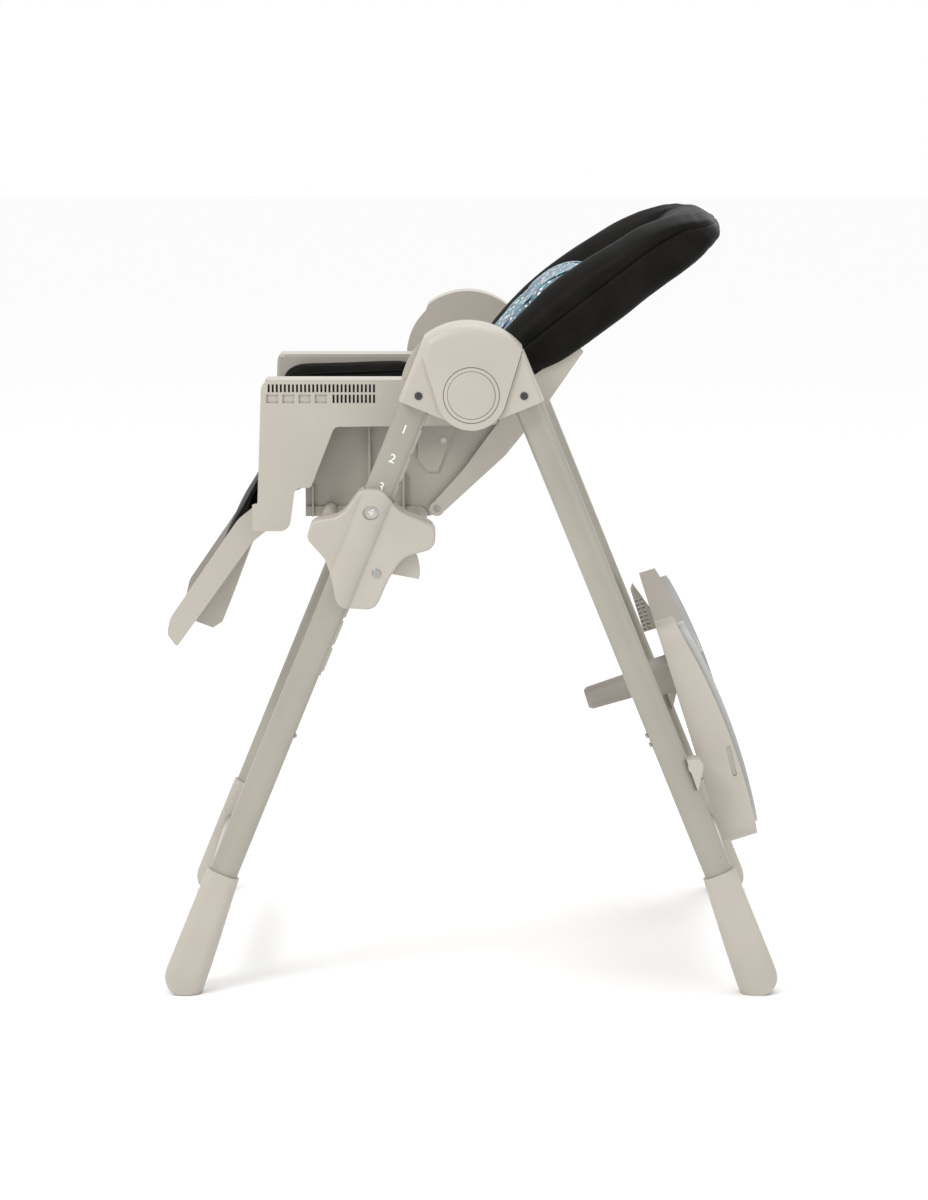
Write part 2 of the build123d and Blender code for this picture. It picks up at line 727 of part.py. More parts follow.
with BuildPart() as bucket:
    with BuildSketch(side_plane(-SEAT_X)):
        Polygon(*WALL_OUTLINE, align=None)
    extrude(amount=2 * SEAT_X)
    with BuildSketch(side_plane(-SEAT_X + SEAT_WALL)):
        Polygon((-300, FLOOR_Z + 4), (-300, 800), (120, 800), (120, FLOOR_Z + 4), align=None)
        Polygon((-54.5, SKIRT_Z - 1), (-54.5, 800), (120, 800), (120, SKIRT_Z - 1), align=None)
        Polygon(
            (WELL_FRONT + 4, SKIRT_Z - 1),
            (WELL_FRONT + 4, FLOOR_Z),
            (-58.5, FLOOR_Z),
            (-58.5, SKIRT_Z - 1),
            align=None,
        )
    extrude(amount=2 * (SEAT_X - SEAT_WALL), mode=Mode.SUBTRACT)
    # ears for the recline hinge
    for side in (-1, 1):
        with BuildSketch(side_plane(side * (SEAT_X - SEAT_WALL / 2) - SEAT_WALL / 2)):
            with Locations((RECLINE_Y, RECLINE_Z)):
                Circle(9)
            Polygon((-62, 564), (-62, 586), (-41, 581.8), (-41, 563.8), align=None)
        extrude(amount=SEAT_WALL)
        # ribs, edge strip, strut pad and strut on the outside of each wall
        with BuildSketch(Plane.XY.offset(SKIRT_Z)):
            with Locations((side * (SEAT_X + 1.5), (WELL_FRONT - 58) / 2)):
                Rectangle(3, -58 - WELL_FRONT)
        extrude(amount=BUCKET_Z - SKIRT_Z)
        for y, top, bottom in RIBS:
            with BuildSketch(Plane.XY.offset(bottom)):
                with Locations((side * (SEAT_X + 4), y)):
                    Rectangle(8, 2.4)
            extrude(amount=top - bottom)
    for side in (-1, 1):
        with BuildSketch(side_plane(side * (SEAT_X + 1.5) - 1.5)):
            Polygon((-64, 700), (-64, 632), (-52, 617), (-40, 617), (-8, 700), align=None)
        extrude(amount=3)
        with BuildSketch(side_plane(side * (SEAT_X + 1.5) - 1.5)):
            Polygon((-58, 727), (-58, 655), (-42, 648), (-30, 648), (-4, 727), align=None)
        extrude(amount=3)
    with BuildSketch(side_plane(-SEAT_X - 10)):
        with Locations((RECLINE_Y, RECLINE_Z)):
            Circle(PIN_R)
    extrude(amount=2 * SEAT_X + 20, mode=Mode.SUBTRACT)
save(bucket, "seat_bucket")

with BuildPart() as seat_screw:
    with BuildSketch(side_plane(SEAT_X + 3)):
        with Locations((-33, 655), (-50, 690)):
            Circle(3.6)
    extrude(amount=1.2)
save_both(seat_screw, "seat_screws")

PANEL_OUTLINE = [
    (-249, ARM_Z, 13),
    (-254.7, 583, 0.5),
    (-261, 581.5, 1),
    (-261, 550, 3),
    (-217, 549.6, 13),
    (-210, 601.5, 8),
    (-191, 602, 5),
    (-162.5, 675, 8),
    (32, 677.3, 6),
    (32, ARM_Z, 6),
]
SLOT_PITCH = 4.8
SLOT_START = -240
COMB_T = 13
with BuildPart() as panel:
    with BuildSketch(side_plane(PANEL_X - PANEL_T)):
        soft_outline([(y, z) for y, z, _ in PANEL_OUTLINE], [r for _, _, r in PANEL_OUTLINE])
    extrude(amount=PANEL_T)
    # arm rest
    with BuildSketch(Plane.XY.offset(ARM_Z - PANEL_T)):
        Polygon(
            (SEAT_X - SEAT_WALL, BUCKET_FRONT + 6),
            (SEAT_X + 2, BUCKET_FRONT),
            (PANEL_X - 1, BUCKET_FRONT),
            (PANEL_X - 1, 28),
            (PANEL_X - 16, 28),
            (PANEL_X - 24, -60),
            (SEAT_X - SEAT_WALL, -70),
            align=None,
        )
    extrude(amount=PANEL_T)
    # comb for the tray: a long row of slots, and four pockets before a short row, in a thicker bar
    with BuildSketch(side_plane(PANEL_X - COMB_T)):
        with Locations((-176.5, 713.5)):
            Rectangle(139, 27)
    extrude(amount=COMB_T - PANEL_T)
    with BuildSketch(side_plane(PANEL_X - COMB_T + 1)):
        with Locations(*[(SLOT_START + SLOT_PITCH * k, 721) for k in range(27)]):
            Rectangle(2.5, 9.5)
        with Locations(*[(SLOT_START + SLOT_PITCH * k, 708.5) for k in range(16, 27)]):
            Rectangle(2.5, 10)
    extrude(amount=COMB_T - 1, mode=Mode.SUBTRACT)
    with BuildSketch(side_plane(PANEL_X - 2.5)):
        with Locations(*[(-236 + 4 * SLOT_PITCH * k, 708.5) for k in range(4)]):
            Rectangle(14, 10)
    extrude(amount=2.5, mode=Mode.SUBTRACT)
    with BuildSketch(side_plane(PANEL_X - PANEL_T)):
        with Locations((REST_Y, REST_Z)):
            Circle(7)
    extrude(amount=-2)
save_pair(panel, "side_panel")

CUSHION_X = 143.4
BOLSTER_T = 15
with BuildPart() as seat_cushion:
    with BuildSketch(side_plane(-CUSHION_X)):
        Polygon(
            (-252, FLOOR_Z + 6),
            (-240, FLOOR_Z + 4.4),
            (-64, FLOOR_Z + 4.4),
            (-64, 630),
            (-225, 634),
            (-250, 626),
            align=None,
        )
    extrude(amount=2 * CUSHION_X)
    for side in (-1, 1):
        with BuildSketch(side_plane(side * (CUSHION_X - BOLSTER_T / 2) - BOLSTER_T / 2)):
            Polygon((-238, 625), (-238, 690), (-224, 712), (-18, 717), (-51, 625), align=None)
        extrude(amount=BOLSTER_T)
save(seat_cushion, "seat_cushion")

with BuildPart() as crotch_strap:
    with BuildSketch(Plane.XZ.offset(130)):
        with Locations((0, 635.5)):
            Rectangle(25, 2.4)
    extrude(amount=45)
save(crotch_strap, "crotch_strap")

with BuildPart() as buckle:
    with BuildSketch(Plane.XY.offset(634.3)):
        with Locations((0, -108)):
            RectangleRounded(40, 42, 9)
    extrude(amount=12)
    fillet(buckle.edges().group_by(Axis.Z)[-1], radius=3)
save(buckle, "harness_buckle")

with BuildPart() as hinge_pins:
    with BuildSketch(side_plane(SEAT_X - 6)):
        with Locations((REST_Y, REST_Z)):
            Circle(PIN_R)
    extrude(amount=PANEL_X - PANEL_T - 2 - SEAT_X + 6)
    with BuildSketch(side_plane(SEAT_X - SEAT_WALL)):
        with Locations((RECLINE_Y, RECLINE_Z)):
            Circle(PIN_R)
    extrude(amount=WING_OUT + 1 - SEAT_X + SEAT_WALL)
save_both(hinge_pins, "hinge_pins")

# ---- back, in its own reclined frame ----
SHELL_LINE = [(22, 3), (104.5, 9.7), (198, 34.2), (253.5, 52), (412, 55.5)]
SHELL_T = 4
WING = [
    (3, -8),
    (104.5, 1.7),
    (178, 19.8),
    (253.5, 44.3),
    (253.5, 56),
    (189, 57.5),
    (119.6, 37.9),
    (54, 18.5),
]
SHELL_NARROW = SEAT_X - SEAT_WALL - 0.6  # between the bucket's walls
SHELL_CORNER = 45


def thick_line(points):
    """The line and its copy one shell thickness away, as one outline in the open sketch."""
    upper = [(a, b + SHELL_T) for a, b in reversed(points)]
    Polygon(*points, *upper, align=None)


with BuildPart() as shell:
    with BuildSketch(back_plane(-WING_OUT)):
        thick_line(SHELL_LINE[2:])
    extrude(amount=2 * WING_OUT)
    corners = shell.edges().filter_by(lambda e: abs(e.length - SHELL_T) < 0.2).sort_by(Axis.Z)[-2:]
    fillet(corners, radius=SHELL_CORNER)
    with BuildSketch(back_plane(-SHELL_NARROW)):
        thick_line(SHELL_LINE[:3])
    extrude(amount=2 * SHELL_NARROW)
    for side in (-1, 1):
        middle = side * (WING_IN + WING_OUT) / 2
        with BuildSketch(back_plane(middle - (WING_OUT - WING_IN) / 2)):
            Circle(8.8)
            Polygon(*WING, (0, 8), align=None)
            Circle(PIN_R + 0.05, mode=Mode.SUBTRACT)
        extrude(amount=WING_OUT - WING_IN)
save(shell, "back_shell")

BACK_X = 168
TONGUE_X = CUSHION_X - BOLSTER_T - 0.7  # passes between the seat's bolsters
TONGUE = [(48, 13.5), (104.5, 18.2), (178, 36.2), (190, 60), (190, 84), (150, 70), (48, 30)]
BACK_PROFILE = [
    (186, 60),
    (250, 47.5),
    (340, 47),
    (410, 51),
    (452, 52),
    (470, 60),
    (474, 78),
    (460, 98),
    (440, 110),
    (400, 122),
    (330, 131),
    (270, 134),
    (213, 124),
    (176, 118),
]
with BuildPart() as back_cushion:
    with BuildSketch(back_plane(-BACK_X)):
        Polygon(*BACK_PROFILE, align=None)
    extrude(amount=2 * BACK_X)
    # trough between the side bolsters
    with BuildSketch(back_plane(-104)):
        Polygon((150, 84), (400, 90), (440, 130), (440, 200), (150, 200), align=None)
    extrude(amount=208, mode=Mode.SUBTRACT)
    # tongue that runs down the shell to the seat
    with BuildSketch(back_plane(-TONGUE_X)):
        Polygon(*TONGUE, align=None)
    extrude(amount=2 * TONGUE_X)
    # pocket for the shell
    with BuildSketch(back_plane(-WING_OUT - 0.4)):
        lower = [(a, b - 0.4) for a, b in SHELL_LINE]
        upper = [(a, b + SHELL_T + 0.4) for a, b in reversed(SHELL_LINE)]
        Polygon(*lower, (412.5, 55), (412.5, 60), *upper, align=None)
    extrude(amount=2 * WING_OUT + 0.8, mode=Mode.SUBTRACT)
    for side in (-1, 1):
        with BuildSketch(back_plane(side * (WING_IN + WING_OUT) / 2 - 6)):
            Polygon((100, 1), (254, 43.5), (254, 57), (189, 58.5), (100, 36), align=None)
        extrude(amount=12, mode=Mode.SUBTRACT)
save(back_cushion, "back_cushion")

PAD_TOP = [(150, 104), (190, 114), (230, 126), (272, 131), (304, 123), (320, 110)]
with BuildPart() as back_pad:
    with BuildSketch(back_plane(-98)):
        Polygon((150, 85), (320, 89), *reversed(PAD_TOP), align=None)
    extrude(amount=196)
save(back_pad, "back_pad")

with BuildPart() as straps:
    for side in (-1, 1):
        with BuildSketch(back_plane(side * 61 - 12)):
            lower = [(a, b + 0.3) for a, b in PAD_TOP]
            upper = [(a, b + 2.5) for a, b in reversed(PAD_TOP)]
            Polygon(*lower, *upper, align=None)
        extrude(amount=24)
save(straps, "shoulder_straps")

HANDLE_X = 45
(a0, b0), (a1, b1) = SHELL_LINE[1:3]
handle_slope = math.degrees(math.atan2(b1 - b0, a1 - a0))
with BuildPart() as recline_handle:
    with BuildSketch(back_plane(-HANDLE_X)):
        with Locations(Location((a0, b0), handle_slope)):
            with Locations((37, -5.5)):
                RectangleRounded(46, 7, 3)
    extrude(amount=2 * HANDLE_X)
save(recline_handle, "recline_handle")

# ---- leg rest, in its own frame ----
REST_PROFILE = [
    # down the rest, out of its front, corner radius
    (-7, 20, 6),
    (30, 31, 40),
    (176, 31.5, 26),
    (195, 24, 12),
    (201.6, 5, 2.5),
    (44, 1.5, 30),
    (8, -9, 4),
    (-9, -6, 4),
]
with BuildPart() as board:
    with BuildSketch(rest_plane(REST_X)):
        soft_outline([(d, n) for d, n, _ in REST_PROFILE], [r for _, _, r in REST_PROFILE])
        Circle(10)
    extrude(amount=2 * REST_X)
    with BuildSketch(rest_plane(REST_X - 5)):
        Polygon((4, 6.2), (4, 60), (-40, 60), (-40, -40), (-9, -40), (-9, 6.2), align=None)
        Polygon((-9, 6.2), (-9, 60), (196, 60), (191, 9), (44, 5.5), align=None)
    extrude(amount=2 * (REST_X - 5), mode=Mode.SUBTRACT)
    with BuildSketch(rest_plane(REST_X + 1)):
        Circle(PIN_R + 0.05)
    extrude(amount=2 * REST_X + 2, mode=Mode.SUBTRACT)
save(board, "legrest_board")

with BuildPart() as cover:
    with BuildSketch(rest_plane(100)):
        Polygon((46, 1.2), (153, -25), (166, -20), (172, 4), align=None)
    extrude(amount=200)
    with BuildSketch(rest_plane(97)):
        Polygon((66, 6), (66, 0), (152, -22), (163, -18), (168, 6), align=None)
    extrude(amount=194, mode=Mode.SUBTRACT)
save(cover, "legrest_cover")

with BuildPart() as rest_cushion:
    with BuildSketch(rest_plane(REST_X - 6)):
        Polygon((6, 7), (44, 6.2), (189, 9.5), (192, 24), (170, 33), (90, 35), (14, 33), align=None)
    extrude(amount=2 * (REST_X - 6))
save(rest_cushion, "legrest_cushion")

# ---- tray, stored on the rear legs ----
TRAY_END = 256  # the base tray's arms end here
TRAY_LOW = -26  # front corners of the tray


def tray_shape(shrink=0.0, end=TRAY_END):
    """Plan of the tray in the open sketch, with its waist cut towards the child."""
    half = TRAY_X - shrink
    low = TRAY_LOW + shrink
    with BuildLine(mode=Mode.PRIVATE) as line:
        ThreePointArc((-half + 18, low), (0, low - 14), (half - 18, low))
        ThreePointArc((half - 18, low), (half - 5, low + 7), (half, low + 24))
        Line((half, low + 24), (half - 4, end - 30 - shrink))
        ThreePointArc(
            (half - 4, end - 30 - shrink), (half - 14, end - 7 - shrink), (half - 34, end - shrink)
        )
        ThreePointArc(
            (half - 34, end - shrink), (0, 186 - shrink), (-half + 34, end - shrink)
        )
        ThreePointArc(
            (-half + 34, end - shrink), (-half + 14, end - 7 - shrink), (-half + 4, end - 30 - shrink)
        )
        Line((-half + 4, end - 30 - shrink), (-half, low + 24))
        ThreePointArc((-half, low + 24), (-half + 5, low + 7), (-half + 18, low))
    make_face(line.edges())


def tray_profile(low, high, start, middle, end):
    """Side view in the open sketch: flat underneath, an arc over the top, from the front edge up."""
    with BuildLine(mode=Mode.PRIVATE) as line:
        ThreePointArc((start, -24), (middle, 120), (end, high))
        Polyline((end, high), (low, high), (low, -45), (start - 22, -45), (start, -24))
    make_face(line.edges())


with BuildPart() as tray:
    with BuildSketch(tray_plane()):
        tray_shape()
    extrude(amount=60)
    with BuildSketch(tray_side(-TRAY_X - 5)):
        tray_profile(0, 258, 42, 44, 21)
    extrude(amount=2 * TRAY_X + 10, mode=Mode.INTERSECT)
    with BuildSketch(tray_plane(-1)):
        tray_shape(TRAY_SKIN)
    extrude(amount=18, mode=Mode.SUBTRACT)
    with BuildSketch(tray_plane(20)):
        tray_shape(11)
    extrude(amount=60, mode=Mode.SUBTRACT)
    # grip recess in each side wall
    for side in (-1, 1):
        with BuildSketch(tray_side(side * (TRAY_X - 1) - 2)):
            with Locations(Location((38, 72), -4)):
                SlotOverall(38, 5, rotation=90)
        extrude(amount=4, mode=Mode.SUBTRACT)
save(tray, "tray")

with BuildPart() as insert:
    with BuildSketch(tray_plane()):
        tray_shape(11.5)
    extrude(amount=80)
    with BuildSketch(tray_side(-TRAY_X - 5)):
        tray_profile(20.4, 258, 45, 51, 30)
    extrude(amount=2 * TRAY_X + 10, mode=Mode.INTERSECT)
    with BuildSketch(tray_plane(23)):
        tray_shape(14.5)
    extrude(amount=60, mode=Mode.SUBTRACT)
save(insert, "tray_insert")

RAIL_X = -200
with BuildPart() as rail:
    with BuildSketch(tray_side(RAIL_X - 7)):
        Polygon((-17, 178), (-17, 236), (-12, 244), (0, 206), (0, 178), align=None)
    extrude(amount=14)
    with BuildSketch(tray_side(RAIL_X - 8)):
        for column in (-14, -8):
            with Locations(*[(column, 182 + 5.6 * k) for k in range(8)]):
                Rectangle(4, 2.6)
    extrude(amount=16, mode=Mode.SUBTRACT)
save(rail, "tray_rail")

with BuildPart() as post:
    with BuildSketch(tray_plane(-22)):
        with Locations((0, POST_U)):
            RectangleRounded(58, 39, 5)
    extrude(amount=39)
    with BuildSketch(tray_plane(-22)):
        with Locations((0, POST_U)):
            Circle(17)
    with BuildSketch(tray_plane(-106)):
        with Locations((0, POST_U)):
            Circle(14.6)
    loft()
    with BuildSketch(tray_plane(-106)):
        with Locations((0, POST_U)):
            Circle(14.6)
    extrude(amount=-4.5, taper=30)
save(post, "crotch_post")

with BuildPart() as latch:
    with BuildSketch(tray_plane(6)):
        with Locations((0, -6)):
            RectangleRounded(70, 28, 6)
    extrude(amount=6)
save(latch, "tray_latch")

PEG_U, PEG_W = 85, -9
PEG_SIN, PEG_COS = math.sin(math.radians(TRAY_ANGLE)), math.cos(math.radians(TRAY_ANGLE))
PEG_Y = TRAY_Y - PEG_U * PEG_SIN + PEG_W * PEG_COS
PEG_Z = TRAY_Z + PEG_U * PEG_COS + PEG_W * PEG_SIN
with BuildPart() as peg:
    with BuildSketch(side_plane(LEG_X - 13)):
        with Locations((PEG_Y + 3, PEG_Z + 4)):
            Circle(9)
        Polygon(
            (PEG_Y - 8, PEG_Z + 12),
            (PEG_Y + 3, PEG_Z + 13),
            (PEG_Y + 12, PEG_Z + 3),
            (PEG_Y + 6, PEG_Z - 26),
            align=None,
        )
    extrude(amount=26)
    with BuildSketch(leg_plane(1, 400)):
        tube_section()
    extrude(amount=200, mode=Mode.SUBTRACT)
    with BuildSketch(side_plane(LEG_X - 50)):
        with Locations((PEG_Y + 3, PEG_Z)):
            Circle(4)
    extrude(amount=37)
save_both(peg, "tray_pegs")
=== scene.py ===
"""Looks of the baby high chair: covers, harness, markings, materials, light and camera."""

import json
import math

import bmesh
import bpy
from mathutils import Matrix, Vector
from mathutils.noise import noise

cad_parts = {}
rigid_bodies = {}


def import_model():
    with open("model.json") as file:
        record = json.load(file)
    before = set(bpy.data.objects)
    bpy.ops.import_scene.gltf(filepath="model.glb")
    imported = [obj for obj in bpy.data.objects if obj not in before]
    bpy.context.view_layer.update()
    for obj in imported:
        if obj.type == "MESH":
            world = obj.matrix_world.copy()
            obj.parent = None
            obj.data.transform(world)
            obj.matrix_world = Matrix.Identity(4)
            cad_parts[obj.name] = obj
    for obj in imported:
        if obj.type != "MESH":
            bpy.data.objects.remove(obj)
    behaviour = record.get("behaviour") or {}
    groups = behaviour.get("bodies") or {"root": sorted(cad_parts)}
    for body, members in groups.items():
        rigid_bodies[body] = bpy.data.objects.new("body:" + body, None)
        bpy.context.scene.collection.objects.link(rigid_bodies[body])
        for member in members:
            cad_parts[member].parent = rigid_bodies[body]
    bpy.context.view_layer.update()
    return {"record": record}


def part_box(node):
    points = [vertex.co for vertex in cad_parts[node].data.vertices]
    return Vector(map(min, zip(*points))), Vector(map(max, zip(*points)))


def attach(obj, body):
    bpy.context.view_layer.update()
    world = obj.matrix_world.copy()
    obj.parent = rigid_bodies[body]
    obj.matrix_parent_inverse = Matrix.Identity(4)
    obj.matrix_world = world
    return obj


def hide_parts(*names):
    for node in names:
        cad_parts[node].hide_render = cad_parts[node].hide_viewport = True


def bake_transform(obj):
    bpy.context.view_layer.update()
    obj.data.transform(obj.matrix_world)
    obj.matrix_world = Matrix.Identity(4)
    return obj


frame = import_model()

MM = 0.001
SIDES = (1, -1)

# ---- local frames of the tilted groups, in millimetres ----
RECLINE = (-41, 572.8)
RECLINE_ANGLE = math.radians(37.3)
REST = (-238, 566)
REST_ANGLE = math.radians(34.5)
PIVOT_Z = 722.6
LEG_ANGLE = math.radians(22.2)
LEG_OFFSET = 56.3
LEG_X = 250
TUBE_HALF_WIDE = 10
TUBE_HALF_DEEP = 17
PRINT_PROUD = 0.25
WINDOW_FACE = 273.6


def back(x, a, b):
    """A point of the reclined back: a up the back, b out of it towards the child."""
    c, s = math.cos(RECLINE_ANGLE), math.sin(RECLINE_ANGLE)
    return Vector((x, RECLINE[0] + a * c - b * s, RECLINE[1] + a * s + b * c)) * MM


def back_place(co):
    """How far up the back a point is, and how far out of it, in millimetres."""
    c, s = math.cos(RECLINE_ANGLE), math.sin(RECLINE_ANGLE)
    y, z = co.y / MM - RECLINE[0], co.z / MM - RECLINE[1]
    return y * c + z * s, -y * s + z * c


def rest(x, d, n):
    """A point of the leg rest: d down it, n out of its front."""
    c, s = math.cos(REST_ANGLE), math.sin(REST_ANGLE)
    return Vector((x, REST[0] - d * s - n * c, REST[1] - d * c + n * s)) * MM


def world(x, y, z):
    return Vector((x, y, z)) * MM


def leg(x, along):
    """A point on the middle line of a front tube."""
    c, s = math.cos(LEG_ANGLE), math.sin(LEG_ANGLE)
    return Vector((x, -along * s - LEG_OFFSET * c, PIVOT_Z - along * c + LEG_OFFSET * s)) * MM


# ---- curves and meshes ----
def spline(points, steps):
    """Catmull-Rom points through the given ones, ends included."""
    tuples = [tuple(p) for p in points]
    padded = [tuples[0]] + tuples + [tuples[-1]]
    out = []
    for p0, p1, p2, p3 in zip(padded, padded[1:], padded[2:], padded[3:]):
        for k in range(steps):
            t = k / steps
            out.append(
                tuple(
                    0.5 * (2 * q1 + (q2 - q0) * t + (2 * q0 - 5 * q1 + 4 * q2 - q3) * t**2
                           + (3 * q1 - q0 - 3 * q2 + q3) * t**3)
                    for q0, q1, q2, q3 in zip(p0, p1, p2, p3)
                )
            )
    out.append(tuples[-1])
    return out


def new_object(name, data):
    obj = bpy.data.objects.new(name, data)
    bpy.context.collection.objects.link(obj)
    return obj


def loft(name, rings):
    """A closed form through rings that have the same number of points."""
    mesh = bpy.data.meshes.new(name)
    bm = bmesh.new()
    rows = [[bm.verts.new(p) for p in ring] for ring in rings]
    count = len(rows[0])
    for row, after in zip(rows, rows[1:]):
        for k in range(count):
            m = (k + 1) % count
            bm.faces.new((row[k], row[m], after[m], after[k]))
    for row in (rows[0], rows[-1]):
        middle = bm.verts.new(sum((v.co for v in row), Vector()) / count)
        for k in range(count):
            bm.faces.new((row[k], row[(k + 1) % count], middle))
    bmesh.ops.recalc_face_normals(bm, faces=bm.faces)
    bm.to_mesh(mesh)
    bm.free()
    mesh.shade_smooth()
    return new_object(name, mesh)


def smooth(obj, levels=1):
    """Subdivides the piece and keeps the result."""
    modifier = obj.modifiers.new("smooth", "SUBSURF")
    modifier.levels = modifier.render_levels = levels
    keep_result(obj)


def keep_result(obj):
    """Makes what the modifiers show the piece's own mesh."""
    graph = bpy.context.evaluated_depsgraph_get()
    mesh = bpy.data.meshes.new_from_object(obj.evaluated_get(graph))
    obj.modifiers.clear()
    obj.data = mesh
    mesh.shade_smooth()


def inflate(obj, pinned, cap, pressure=4.0, frames=20):
    """Swells the cover as cloth under pressure, held where pinned says, and keeps the result."""
    start = [v.co.copy() for v in obj.data.vertices]
    hold = [1.0 if pinned(co) else 0.0 for co in start]
    group = obj.vertex_groups.new(name="held")
    for index, weight in enumerate(hold):
        if weight:
            group.add([index], weight, "REPLACE")
    cloth = obj.modifiers.new("cloth", "CLOTH")
    cloth.settings.vertex_group_mass = "held"
    cloth.settings.use_pressure = True
    cloth.settings.uniform_pressure_force = pressure
    cloth.settings.tension_stiffness = 18
    cloth.settings.compression_stiffness = 18
    cloth.settings.shear_stiffness = 8
    cloth.settings.bending_stiffness = 0.6
    cloth.settings.effector_weights.gravity = 0
    cloth.point_cache.frame_end = frames
    scene = bpy.context.scene
    for number in range(1, frames + 1):
        scene.frame_set(number)
    keep_result(obj)
    scene.frame_set(1)
    obj.vertex_groups.clear()
    for vertex, co in zip(obj.data.vertices, start):
        shift = vertex.co - co
        if shift.length > cap:
            vertex.co = co + shift.normalized() * cap


def tube(name, points, radius, cyclic=False):
    """A round cord of thread or piping through the points, as a mesh."""
    curve = bpy.data.curves.new(name, "CURVE")
    curve.dimensions = "3D"
    line = curve.splines.new("POLY")
    line.points.add(len(points) - 1)
    for point, co in zip(line.points, points):
        point.co = (*co, 1)
    line.use_cyclic_u = cyclic
    curve.bevel_depth = radius
    curve.bevel_resolution = 2
    curve.use_fill_caps = True
    obj = new_object(name, curve)
    graph = bpy.context.evaluated_depsgraph_get()
    mesh = bpy.data.meshes.new_from_object(obj.evaluated_get(graph))
    bpy.data.objects.remove(obj)
    mesh.shade_smooth()
    return new_object(name, mesh)


def webbing(name, points, width, thick, side):
    """A flat strap along the points; side gives the direction across it at each."""
    rings = []
    count = len(points)
    for k, point in enumerate(points):
        before = Vector(points[max(k - 1, 0)])
        after = Vector(points[min(k + 1, count - 1)])
        along = (after - before).normalized()
        across = (side - along * side.dot(along)).normalized()
        up = across.cross(along)
        ring = []
        for u, w in ((-1, -0.6), (-0.97, 0.6), (-0.8, 1), (0, 1), (0.8, 1), (0.97, 0.6),
                     (1, -0.6), (0.8, -1), (0, -1), (-0.8, -1)):
            ring.append(Vector(point) + across * (u * width / 2) + up * (w * thick / 2))
        rings.append(ring)
    return loft(name, rings)


# ---- materials ----
def material(name):
    """An empty material with its shader, and helpers to add nodes."""
    mat = bpy.data.materials.new(name)
    mat.use_nodes = True
    return mat, mat.node_tree, mat.node_tree.nodes["Principled BSDF"]


def node(tree, kind, **values):
    made = tree.nodes.new(kind)
    for key, value in values.items():
        if hasattr(made, key):
            setattr(made, key, value)
        else:
            made.inputs[key.replace("_", " ")].default_value = value
    return made


def position(tree):
    return tree.nodes.new("ShaderNodeTexCoord").outputs["Object"]


def ramp(tree, source, low, high, start=0.35, end=0.65):
    """Colour ramp between two greys or colours."""
    made = tree.nodes.new("ShaderNodeValToRGB")
    made.color_ramp.elements[0].position = start
    made.color_ramp.elements[1].position = end
    made.color_ramp.elements[0].color = (*low, 1)
    made.color_ramp.elements[1].color = (*high, 1)
    tree.links.new(source, made.inputs["Fac"])
    return made.outputs["Color"]


def noise_out(tree, scale, detail=3.0, roughness=0.55):
    made = node(tree, "ShaderNodeTexNoise", Scale=scale, Detail=detail, Roughness=roughness)
    tree.links.new(position(tree), made.inputs["Vector"])
    return made.outputs["Fac"]


def remap(tree, source, low, high):
    made = node(tree, "ShaderNodeMapRange", To_Min=low, To_Max=high)
    tree.links.new(source, made.inputs["Value"])
    return made.outputs["Result"]


def bump(tree, shader, height, distance, strength=1.0, previous=None):
    made = node(tree, "ShaderNodeBump", Distance=distance, Strength=strength)
    tree.links.new(height, made.inputs["Height"])
    if previous is not None:
        tree.links.new(previous.outputs["Normal"], made.inputs["Normal"])
    tree.links.new(made.outputs["Normal"], shader.inputs["Normal"])
    return made


def scaled(colour, factor):
    return tuple(c * factor for c in colour)


PAINTED_SHADE_REACH = 0.006  # reach of the painted shade that darkens slots and grooves


def plastic(name, colour, rough=0.42, grain=1400.0, depth=0.00006, coat=0.0):
    """Moulded plastic: fine spark-eroded grain, faint flow and colour drift, scuffed edges, and painted
    shade in slots and grooves.
    """
    mat, tree, shader = material(name)
    drift = ramp(tree, noise_out(tree, 9, 4), scaled(colour, 0.955), scaled(colour, 1.03))
    edge = node(tree, "ShaderNodeNewGeometry").outputs["Pointiness"]
    worn = ramp(tree, edge, (0, 0, 0), (1, 1, 1), 0.515, 0.60)
    mix = node(tree, "ShaderNodeMix", data_type="RGBA", blend_type="MIX")
    half = node(tree, "ShaderNodeMath", operation="MULTIPLY")
    half.inputs[1].default_value = 0.16
    tree.links.new(worn, half.inputs[0])
    tree.links.new(half.outputs[0], mix.inputs["Factor"])
    tree.links.new(drift, mix.inputs["A"])
    mix.inputs["B"].default_value = (*scaled(colour, 1.22), 1)
    # painted shade: an occlusion node darkens the colour in slots, grooves and crevices
    cavity = node(tree, "ShaderNodeAmbientOcclusion", Distance=PAINTED_SHADE_REACH)
    painted_crevice_shade = ramp(tree, cavity.outputs["AO"], (0.22, 0.21, 0.20), (1, 1, 1), 0.05, 0.62)
    crevice_shade_multiply = node(tree, "ShaderNodeMix", data_type="RGBA", blend_type="MULTIPLY")
    crevice_shade_multiply.inputs["Factor"].default_value = 1
    tree.links.new(mix.outputs["Result"], crevice_shade_multiply.inputs["A"])
    tree.links.new(painted_crevice_shade, crevice_shade_multiply.inputs["B"])
    tree.links.new(crevice_shade_multiply.outputs["Result"], shader.inputs["Base Color"])
    scuff = remap(tree, noise_out(tree, 60, 4), rough - 0.06, rough + 0.08)
    tree.links.new(scuff, shader.inputs["Roughness"])
    fine = bump(tree, shader, noise_out(tree, grain, 2), depth, 0.35)
    bump(tree, shader, noise_out(tree, 14, 2), 0.0006, 0.10, fine)
    shader.inputs["Coat Weight"].default_value = coat
    shader.inputs["Coat Roughness"].default_value = 0.2
    return mat


